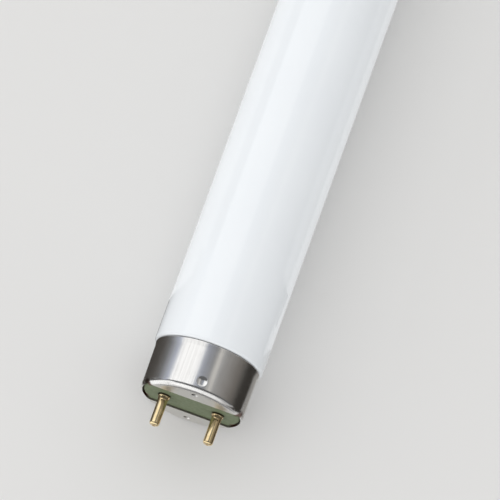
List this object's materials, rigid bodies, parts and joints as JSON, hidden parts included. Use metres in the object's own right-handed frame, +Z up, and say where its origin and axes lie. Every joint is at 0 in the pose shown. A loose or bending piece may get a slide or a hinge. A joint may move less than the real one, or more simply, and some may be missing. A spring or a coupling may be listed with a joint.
{
  "type": "fluorescent tube",
  "caption": "Straight white fluorescent tube with an aluminium cap, an insulating plate and brass contact pins at each end, which plugs into lamp holders.",
  "frame": {"origin": "middle of the lamp, on its axis, halfway between its two ends", "axes": "+X along the lamp towards its right end, +Y across the pins, +Z up with the pins level"},
  "size_m": [0.604, 0.0254, 0.0254],
  "materials": {
    "white_glass": "polished clear glass over an even white coat, opaque",
    "cap_metal": "bright drawn sheet with fine scratches, satin on the end face",
    "insulating_board": "grey-green pressed board, dull",
    "pin_metal": "polished drawn brass",
    "cement": "rough baked cement",
    "wire_metal": "plain drawn wire"
  },
  "bodies": {
    "root": {"glass_tube": "white_glass", "right_cap": "cap_metal", "right_plate": "insulating_board", "right_cement": "cement", "right_pin_rear": "pin_metal", "right_wire_rear": "wire_metal", "right_pin_front": "pin_metal", "right_wire_front": "wire_metal", "left_cap": "cap_metal", "left_plate": "insulating_board", "left_cement": "cement", "left_pin_rear": "pin_metal", "left_wire_rear": "wire_metal", "left_pin_front": "pin_metal", "left_wire_front": "wire_metal"}
  },
  "joints": []
}
